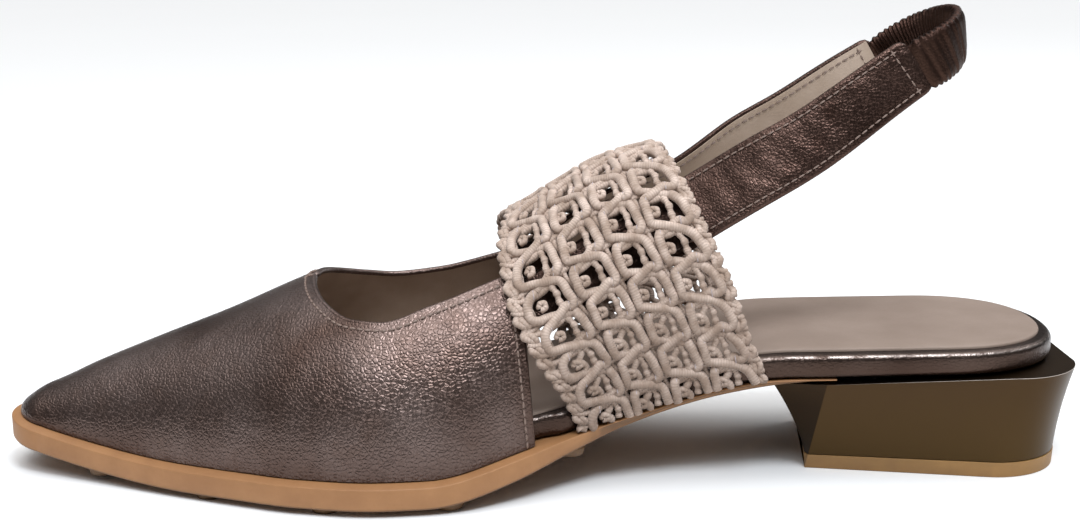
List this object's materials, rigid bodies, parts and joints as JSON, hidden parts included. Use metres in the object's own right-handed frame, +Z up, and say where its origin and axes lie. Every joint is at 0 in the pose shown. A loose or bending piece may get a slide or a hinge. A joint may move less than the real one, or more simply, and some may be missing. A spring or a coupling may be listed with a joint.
{
  "type": "slingback sandal",
  "caption": "Pointed slingback sandal with a closed vamp, an openwork instep band, a heel strap with gathered elastic and a low block heel.",
  "frame": {"origin": "middle of the heel's rest face, on the floor", "axes": "+Z up from the floor, -X towards the toe, +Y towards the outer side of a right foot"},
  "size_m": [0.2573, 0.0849, 0.1084],
  "materials": {
    "metallic_leather": "satin",
    "crochet_cord": "matte",
    "sock_leather": "matte",
    "tan_sole": "matte",
    "heel_lacquer": "satin",
    "top_lift_rubber": "matte",
    "gathered_elastic": "satin"
  },
  "bodies": {
    "root": {"outsole": "tan_sole", "heel_block": "heel_lacquer", "top_lift": "top_lift_rubber", "footbed": "metallic_leather", "sock_lining": "sock_leather", "vamp": "metallic_leather", "instep_band": "crochet_cord", "sling_strap_inner": "metallic_leather", "sling_strap_outer": "metallic_leather", "heel_elastic": "gathered_elastic"}
  },
  "joints": []
}
